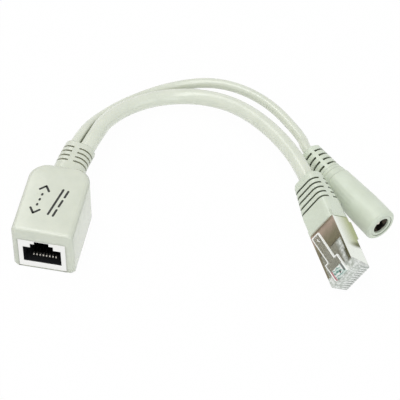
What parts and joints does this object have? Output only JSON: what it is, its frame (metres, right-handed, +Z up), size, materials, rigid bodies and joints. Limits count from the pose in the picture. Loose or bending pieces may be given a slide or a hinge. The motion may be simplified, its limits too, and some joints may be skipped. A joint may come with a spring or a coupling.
{
  "type": "passive power over ethernet injector",
  "caption": "Short moulded adapter lead: a network socket block whose two cords end in a shielded network plug and a barrel power socket.",
  "frame": {"origin": "on the resting surface, under the middle of the network socket block with its strain relief", "axes": "+Z up, +Y from the network socket's mouth towards the two cords, +X towards the plug and the power socket"},
  "size_m": [0.1135, 0.0864, 0.0184],
  "materials": {
    "soft_moulding": "soft satin pale grey-green moulding",
    "cord_sheath": "smooth satin pale sheath",
    "tinned_can": "bright tinned sheet",
    "black_insulator": "matte black",
    "gold_contact": "gold plated",
    "board": "lacquered board",
    "clear_plug": "clear, glossy",
    "plated_shield": "bright plated sheet",
    "plated_pin": "bright plated",
    "spring_metal": "plain sheet spring",
    "wire_orange_white": "pale insulation with a band of colour",
    "wire_orange": "glossy insulation",
    "wire_green_white": "pale insulation with a band of colour",
    "wire_blue": "glossy insulation",
    "wire_blue_white": "pale insulation with a band of colour",
    "wire_green": "glossy insulation",
    "wire_brown_white": "pale insulation with a band of colour",
    "wire_brown": "glossy insulation"
  },
  "bodies": {
    "root": {"socket_housing": "soft_moulding", "jack_shield": "tinned_can", "jack_body": "black_insulator", "contact_carrier": "black_insulator", "circuit_board": "board", "jack_contact_1": "gold_contact", "jack_contact_2": "gold_contact", "jack_contact_3": "gold_contact", "jack_contact_4": "gold_contact", "jack_contact_5": "gold_contact", "jack_contact_6": "gold_contact", "jack_contact_7": "gold_contact", "jack_contact_8": "gold_contact", "plug_body": "clear_plug", "plug_shield": "plated_shield", "plug_boot": "soft_moulding", "plug_blade_1": "gold_contact", "plug_blade_2": "gold_contact", "plug_blade_3": "gold_contact", "plug_blade_4": "gold_contact", "plug_blade_5": "gold_contact", "plug_blade_6": "gold_contact", "plug_blade_7": "gold_contact", "plug_blade_8": "gold_contact", "plug_wire_1": "wire_orange_white", "plug_wire_2": "wire_orange", "plug_wire_3": "wire_green_white", "plug_wire_4": "wire_blue", "plug_wire_5": "wire_blue_white", "plug_wire_6": "wire_green", "plug_wire_7": "wire_brown_white", "plug_wire_8": "wire_brown", "barrel_housing": "soft_moulding", "barrel_core": "black_insulator", "barrel_pin": "plated_pin", "barrel_spring": "spring_metal", "data_cord": "cord_sheath", "power_cord": "cord_sheath"}
  },
  "joints": []
}
